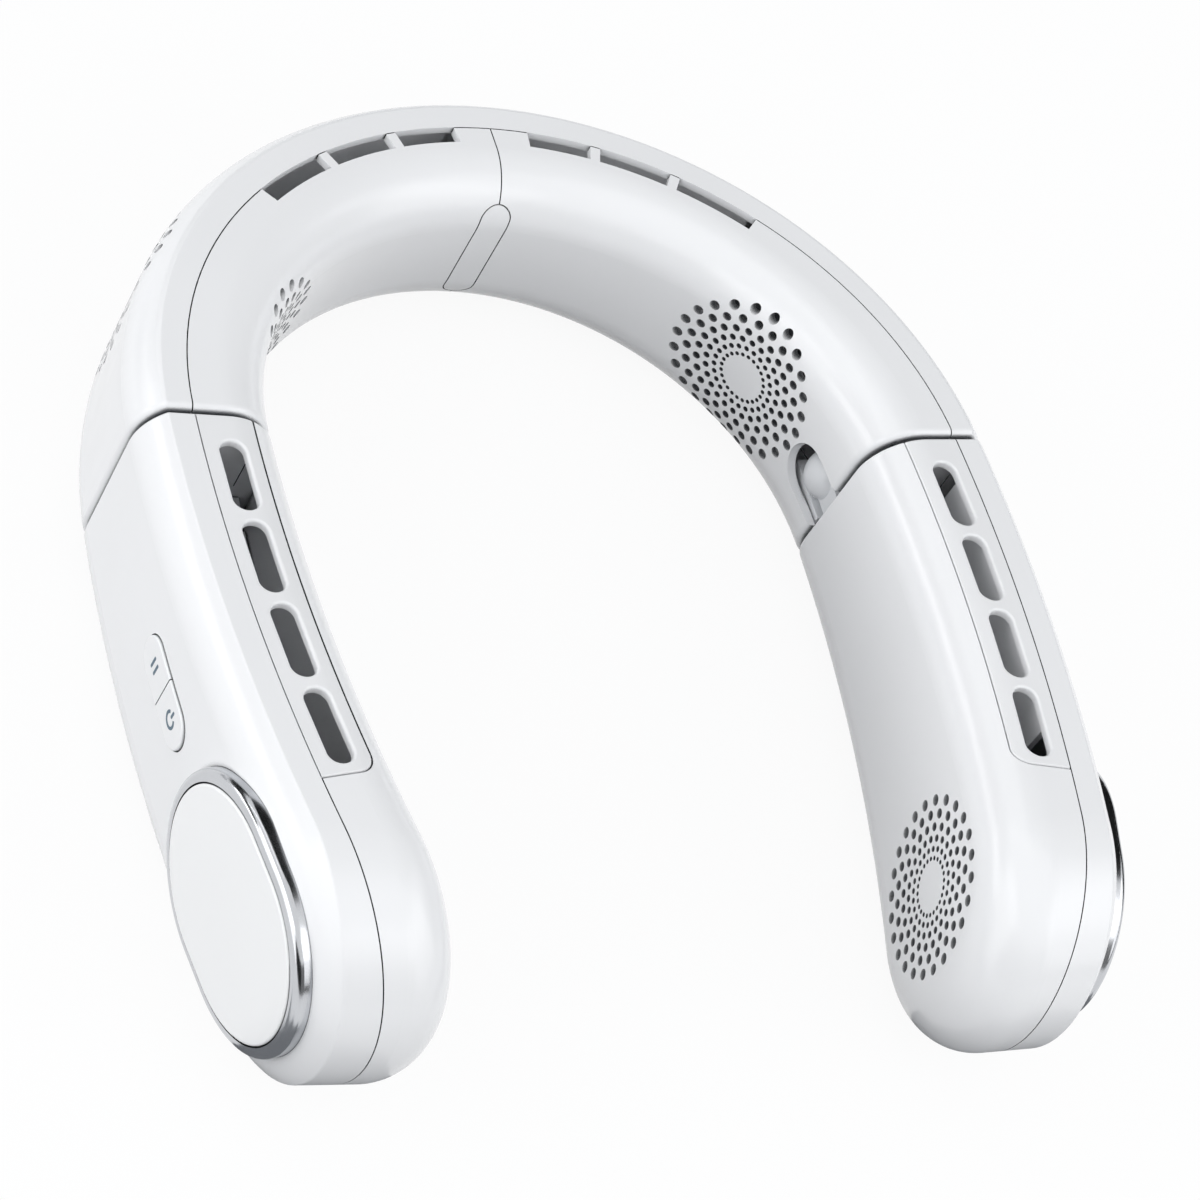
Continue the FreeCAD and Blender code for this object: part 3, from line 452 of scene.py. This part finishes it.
def mesh_object(name, mesh, *materials):
    """A finished mesh as an object in the scene."""
    data = bpy.data.meshes.new(name)
    mesh.to_mesh(data)
    mesh.free()
    for material in materials:
        data.materials.append(material)
    made = bpy.data.objects.new(name, data)
    bpy.context.scene.collection.objects.link(made)
    return made


# Moulded shells


class NECKFAN_OT_shells(bpy.types.Operator):
    """Polished white ABS on the covers of band and arms and on the trim"""

    bl_idname = "neckfan.shells"
    bl_label = "Shells"

    def execute(self, context):
        look = context.scene.neckfan_finish
        # The recess length paints grey shade into the shells' holes and joints
        gloss = moulded_plastic(
            "polished_white_abs", look.shell, look.shell_roughness, grain=look.peel, depth=0.0012 * MM,
            vary=0.02, shade=0.985, recess=look.recess,
        )
        finish_nodes(gloss, "_cover", "_cover_left", "_cover_right", "_trim")
        return {"FINISHED"}


class NECKFAN_OT_outlet_strips(bpy.types.Operator):
    """Satin white ABS on the strips that hold the arms' air slots"""

    bl_idname = "neckfan.outlet_strips"
    bl_label = "Outlet strips"

    def execute(self, context):
        look = context.scene.neckfan_finish
        # The tool's spark grain is about 0.1 mm, drawn at 0.35 mm so that it shows
        satin = moulded_plastic("satin_white_abs", look.strip, 0.36, grain=0.35 * MM, depth=0.012 * MM)
        finish_nodes(satin, "_outlet_grille")
        return {"FINISHED"}


class NECKFAN_OT_end_caps(bpy.types.Operator):
    """Flat white caps and the chrome rings round them"""

    bl_idname = "neckfan.end_caps"
    bl_label = "End caps"

    def execute(self, context):
        look = context.scene.neckfan_finish
        # Painted shade only in joints narrower than on the shells
        recess = RECESS_SHADE_SHARE * look.recess
        smooth = moulded_plastic(
            "smooth_white_cap", look.cap, 0.34, grain=3 * MM, depth=0.0002 * MM,
            vary=0.01, shade=0.99, recess=recess,
        )
        finish_nodes(smooth, "_arm_cap")
        finish_nodes(bright_chrome("bright_chrome", look.chrome, recess), "_cap_ring")
        return {"FINISHED"}


# Buttons with printed signs


def print_frame(node, outward):
    """The middle of a button's flat face, with the directions along the arm and up."""
    up = Vector((0, 0, 1))
    along = up.cross(outward).normalized()
    points = [v.co for v in NODES[node].data.vertices]
    level = max(p.dot(outward) for p in points)
    slack = 0.02 * MM
    face = [p for p in points if p.dot(outward) > level - slack]
    spread = [[p.dot(d) for p in face] for d in (along, up)]
    middle = [(min(s) + max(s)) / 2 for s in spread]
    centre = outward * level + along * middle[0] + up * middle[1]
    turn = Matrix((along, up, outward)).transposed().to_4x4()
    return Matrix.Translation(centre) @ turn


def printed_bar(mesh, width, height, film, x, y):
    """One straight printed line with round ends, added to a mesh."""
    made = bmesh.ops.create_cube(mesh, size=1.0)["verts"]
    bmesh.ops.scale(mesh, vec=(width, height, 2 * film), verts=made)
    bmesh.ops.translate(mesh, vec=(x, y, 0), verts=made)
    edges = dict.fromkeys(e for v in made for e in v.link_edges)
    upright = [e for e in edges if abs(e.verts[0].co.z - e.verts[1].co.z) > film]
    # A little under half the width, so that the round ends don't meet in a point
    bmesh.ops.bevel(
        mesh, geom=upright, offset=0.48 * width, offset_type="OFFSET", affect="EDGES",
        segments=5, profile=0.5, material=-1,
    )


def printed_arc(mesh, radius, width, film, opening):
    """An open printed ring whose gap is at the top, added to a mesh."""
    made = bmesh.ops.create_grid(mesh, x_segments=1, y_segments=1, size=0.5)["verts"]
    bmesh.ops.scale(mesh, vec=(width, 2 * film, 1), verts=made)
    bmesh.ops.rotate(mesh, cent=(0, 0, 0), matrix=Matrix.Rotation(math.pi / 2, 3, "X"), verts=made)
    bmesh.ops.translate(mesh, vec=(radius, 0, 0), verts=made)
    start = math.pi / 2 + opening / 2
    bmesh.ops.rotate(mesh, cent=(0, 0, 0), matrix=Matrix.Rotation(start, 3, "Z"), verts=made)
    face = made[0].link_faces[0]
    bmesh.ops.spin(
        mesh, geom=[face, *face.edges, *face.verts], cent=(0, 0, 0), axis=(0, 0, 1),
        angle=2 * math.pi - opening, steps=36,
    )


def printed_sign(name, mesh, ink, node, outward, body):
    """A sign drawn flat at the origin, moved onto its button and made to travel with it."""
    mesh.transform(print_frame(node, outward))
    bmesh.ops.recalc_face_normals(mesh, faces=mesh.faces)
    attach(mesh_object(name, mesh, ink), body)


class NECKFAN_OT_buttons(bpy.types.Operator):
    """The two halves of the button pill, with a two-bar sign and a power sign printed on them"""

    bl_idname = "neckfan.buttons"
    bl_label = "Buttons"

    def execute(self, context):
        look = context.scene.neckfan_finish
        sign = context.scene.neckfan_signs
        # Painted shade only in the buttons' narrowest joints
        satin = moulded_plastic(
            "white_button_abs", look.button, 0.32, grain=2 * MM, depth=0.001 * MM,
            vary=0.02, recess=RECESS_SHADE_SHARE * look.recess,
        )
        finish_nodes(satin, "_mode_button", "_power_button")
        ink = pad_print("blue_grey_ink", look.ink)
        pressed = next(j for j in frame["joints"] if j["name"] == "mode_button_press")
        outward = -Vector(pressed["axis"]).normalized()

        bars = bmesh.new()
        for side in (-1, 1):
            printed_bar(bars, sign.stroke, 0.8 * sign.height, sign.film, side * 1.3 * sign.stroke, 0)
        printed_sign("mode_sign", bars, ink, "left_arm_mode_button", outward, "mode_button")

        power = bmesh.new()
        radius = 0.4 * sign.height
        printed_arc(power, radius, sign.stroke, sign.film, sign.opening)
        printed_bar(power, sign.stroke, 0.5 * sign.height, sign.film, 0, radius)
        printed_sign("power_sign", power, ink, "left_arm_power_button", outward, "power_button")
        return {"FINISHED"}


# Pieces seen through the openings, and the ones inside


class NECKFAN_OT_hinges(bpy.types.Operator):
    """White acetal knuckles and brackets on steel pins"""

    bl_idname = "neckfan.hinges"
    bl_label = "Hinges"

    def execute(self, context):
        look = context.scene.neckfan_finish
        # Acetal looks waxy: a soft sheen on a faintly pebbled skin
        acetal = moulded_plastic("white_acetal", look.hinge, 0.34, grain=0.6 * MM, depth=0.004 * MM)
        finish_nodes(acetal, "_hinge_knuckle", "_hinge_bracket")
        steel = ground_steel("ground_steel", look.steel)
        finish_nodes(steel, "_hinge_pin", "_fan_shaft", "_charging_socket")
        return {"FINISHED"}


class NECKFAN_OT_blowers(bpy.types.Operator):
    """Blower wheels, motors and the ducts that lead to the air slots"""

    bl_idname = "neckfan.blowers"
    bl_label = "Blowers and ducts"

    def execute(self, context):
        look = context.scene.neckfan_finish
        # Inner mouldings come from plain tools: dull, with a fine even grain
        # The wheel's grey is partly its own colour and partly painted shade seen through the grille holes
        wheel = moulded_plastic("grey_blower_wheel", look.wheel, 0.42, grain=0.5 * MM, depth=0.008 * MM)
        finish_nodes(wheel, "_impeller")
        duct = moulded_plastic(
            "white_duct_moulding", look.duct, 0.5, grain=0.5 * MM, depth=0.012 * MM, shade=0.93
        )
        finish_nodes(duct, "_air_duct", "_motor_mount")
        finish_nodes(bonded_ferrite("bonded_ferrite"), "_magnet_ring")
        finish_nodes(wound_copper("enamelled_copper", look.copper), "_motor_stator")
        return {"FINISHED"}


class NECKFAN_OT_power(bpy.types.Operator):
    """Battery cells, control board and switches"""

    bl_idname = "neckfan.power"
    bl_label = "Cells and board"

    def execute(self, context):
        look = context.scene.neckfan_finish
        finish_nodes(shrink_film("cell_shrink_film", look.sleeve), "_battery_cell")
        finish_nodes(solder_mask("green_solder_mask", look.board), "_control_board")
        # Filled nylon: matt black with a fine grain
        black = moulded_plastic("black_switch_nylon", look.nylon, 0.5, grain=0.4 * MM, depth=0.01 * MM)
        finish_nodes(black, "_mode_switch", "_power_switch")
        return {"FINISHED"}


# Floor, lamps and camera


def area_lamp(name, place, size, power):
    """A soft rectangular lamp that faces the middle of the fan."""
    data = bpy.data.lights.new(name, "AREA")
    data.shape = "RECTANGLE"
    data.size, data.size_y = size
    data.energy = power
    lamp = bpy.data.objects.new(name, data)
    lamp.location = place
    lamp.rotation_mode = "QUATERNION"
    lamp.rotation_quaternion = (Vector(LAMP_AIM) - Vector(place)).to_track_quat("-Z", "Y")
    bpy.context.scene.collection.objects.link(lamp)


def matt_card(name, hex_colour):
    """Dull paint on a studio card."""
    made = bpy.data.materials.new(name)
    tree = empty_nodes(made)
    paint = add_node(tree, "ShaderNodeBsdfDiffuse", {"Color": (*linear(hex_colour), 1.0)})
    add_node(tree, "ShaderNodeOutputMaterial", links={"Surface": paint.outputs["BSDF"]})
    return made


def dark_cards(studio):
    """Dark cards that only mirrored rays meet, so that chrome has something dark to show from any side."""
    cards = bmesh.new()
    rim = bmesh.ops.create_circle(cards, segments=64, radius=studio.surround_radius)["verts"]
    bmesh.ops.translate(cards, vec=(0, 0, studio.surround_low), verts=rim)
    raised = bmesh.ops.extrude_edge_only(cards, edges=list(cards.edges))["geom"]
    lifted = [g for g in raised if isinstance(g, bmesh.types.BMVert)]
    bmesh.ops.translate(cards, vec=(0, 0, studio.surround_high - studio.surround_low), verts=lifted)
    above = bmesh.ops.create_grid(cards, x_segments=1, y_segments=1, size=UPPER_CARD_HALF)["verts"]
    tilt = Vector(UPPER_CARD_PLACE).to_track_quat("Z", "Y").to_matrix()
    bmesh.ops.rotate(cards, cent=(0, 0, 0), matrix=tilt, verts=above)
    bmesh.ops.translate(cards, vec=UPPER_CARD_PLACE, verts=above)
    for side in (-1, 1):
        for x, y, half in (TIP_CARD, BACK_CARD):
            low = bmesh.ops.create_grid(cards, x_segments=1, y_segments=1, size=half)["verts"]
            bmesh.ops.translate(cards, vec=(side * x, y, LOW_CARD_HEIGHT), verts=low)
            # The second material, which is the grey one
            low[0].link_faces[0].material_index = 1
    black = matt_card("black_card", "#262626")
    grey = matt_card("grey_card", "#85878A")
    card = mesh_object("dark_cards", cards, black, grey)
    card.visible_camera = False
    card.visible_diffuse = False
    card.visible_shadow = False
    card.visible_transmission = False


def seen_rays(tree):
    """1 for rays from the camera and for mirrored or transmitted ones, else 0."""
    path = add_node(tree, "ShaderNodeLightPath")
    first = add_node(
        tree, "ShaderNodeMath", {"operation": "MAXIMUM"},
        {0: path.outputs["Is Camera Ray"], 1: path.outputs["Is Glossy Ray"]},
    )
    both = add_node(
        tree, "ShaderNodeMath", {"operation": "MAXIMUM"},
        {0: first.outputs["Value"], 1: path.outputs["Is Transmission Ray"]},
    )
    return both.outputs["Value"]


def white_room(studio):
    """A world that looks white and lights the fan more from the sides than from above."""
    world = bpy.data.worlds.new("studio_white")
    tree = empty_nodes(world)
    direction = add_node(tree, "ShaderNodeTexCoord").outputs["Generated"]
    height = add_node(tree, "ShaderNodeSeparateXYZ", links={"Vector": direction}).outputs["Z"]
    level = add_node(
        tree, "ShaderNodeMapRange", {"To Min": studio.walls, "To Max": studio.ceiling}, {"Value": height}
    )
    even = add_node(
        tree, "ShaderNodeBackground", {"Color": (*linear("#FDFEFF"), 1.0)},
        {"Strength": level.outputs["Result"]},
    )
    white = add_node(
        tree, "ShaderNodeBackground", {"Color": (*linear("#FFFFFF"), 1.0), "Strength": 1.0}
    )
    mixed = add_node(
        tree, "ShaderNodeMixShader",
        links={0: seen_rays(tree), 1: even.outputs["Background"], 2: white.outputs["Background"]},
    )
    add_node(tree, "ShaderNodeOutputWorld", links={"Surface": mixed.outputs["Shader"]})
    return world


def pale_floor(studio):
    """A floor that looks white and keeps the fan's shadow, but throws little light back up."""
    made = bpy.data.materials.new("pale_floor")
    tree = empty_nodes(made)
    paint = add_node(tree, "ShaderNodeBsdfDiffuse", {"Color": (*studio.floor, 1.0)})
    glow = add_node(tree, "ShaderNodeEmission", {"Strength": 1.0})
    shown = add_node(
        tree, "ShaderNodeMixShader", {0: FLOOR_GLOW},
        {1: paint.outputs["BSDF"], 2: glow.outputs["Emission"]},
    )
    bounce = add_node(tree, "ShaderNodeBsdfDiffuse", {"Color": (*studio.bounce, 1.0)})
    both = add_node(
        tree, "ShaderNodeMixShader",
        links={0: seen_rays(tree), 1: bounce.outputs["BSDF"], 2: shown.outputs["Shader"]},
    )
    add_node(tree, "ShaderNodeOutputMaterial", links={"Surface": both.outputs["Shader"]})
    sheet = bmesh.new()
    flat = bmesh.ops.create_grid(sheet, x_segments=1, y_segments=1, size=studio.floor_size / 2)["verts"]
    bmesh.ops.translate(sheet, vec=(0, 0, -FLOOR_DROP), verts=flat)
    mesh_object("floor", sheet, made)


def photo_camera(studio):
    """The camera at the photograph's viewing angle."""
    data = bpy.data.cameras.new("photo_camera")
    data.sensor_width = SENSOR_WIDTH
    data.lens = studio.lens
    camera = bpy.data.objects.new("photo_camera", data)
    place = Vector(studio.camera_place)
    sight = (Vector(studio.camera_aim) - place).to_track_quat("-Z", "Y")
    camera.location = place
    camera.rotation_mode = "QUATERNION"
    camera.rotation_quaternion = sight @ Quaternion((0, 0, 1), studio.camera_roll)
    bpy.context.scene.collection.objects.link(camera)
    return camera


class NECKFAN_OT_studio(bpy.types.Operator):
    """Pale floor, soft lamps and the camera"""

    bl_idname = "neckfan.studio"
    bl_label = "Studio"

    def execute(self, context):
        studio = context.scene.neckfan_studio
        context.scene.view_settings.view_transform = "Standard"
        context.scene.world = white_room(studio)
        pale_floor(studio)
        for name, (place, size) in LAMPS.items():
            area_lamp(name + "_lamp", place, size, getattr(studio, name))
        dark_cards(studio)
        context.scene.camera = photo_camera(studio)
        return {"FINISHED"}


class NECKFAN_PT_looks(bpy.types.Panel):
    """Operators and values of the neck fan in the 3D view's sidebar"""

    bl_idname = "NECKFAN_PT_looks"
    bl_label = "Neck fan"
    bl_space_type = "VIEW_3D"
    bl_region_type = "UI"
    bl_category = "Neck fan"

    def draw(self, context):
        for operator in OPERATORS:
            self.layout.operator(operator.bl_idname)
        for group_name in GROUPS:
            group = getattr(context.scene, group_name)
            for name in group.__annotations__:
                self.layout.prop(group, name)


GROUPS = {
    "neckfan_finish": NeckFanFinish,
    "neckfan_signs": NeckFanSigns,
    "neckfan_studio": NeckFanStudio,
}
OPERATORS = (
    NECKFAN_OT_shells,
    NECKFAN_OT_outlet_strips,
    NECKFAN_OT_end_caps,
    NECKFAN_OT_buttons,
    NECKFAN_OT_hinges,
    NECKFAN_OT_blowers,
    NECKFAN_OT_power,
    NECKFAN_OT_studio,
)


def register():
    for name, group in GROUPS.items():
        bpy.utils.register_class(group)
        setattr(bpy.types.Scene, name, PointerProperty(type=group))
    for operator in OPERATORS:
        bpy.utils.register_class(operator)
    bpy.utils.register_class(NECKFAN_PT_looks)


def unregister():
    bpy.utils.unregister_class(NECKFAN_PT_looks)
    for operator in reversed(OPERATORS):
        bpy.utils.unregister_class(operator)
    for name, group in GROUPS.items():
        delattr(bpy.types.Scene, name)
        bpy.utils.unregister_class(group)


def main():
    register()
    bpy.ops.neckfan.shells()
    bpy.ops.neckfan.outlet_strips()
    bpy.ops.neckfan.end_caps()
    bpy.ops.neckfan.buttons()
    bpy.ops.neckfan.hinges()
    bpy.ops.neckfan.blowers()
    bpy.ops.neckfan.power()
    bpy.ops.neckfan.studio()


if __name__ == "__main__":
    main()
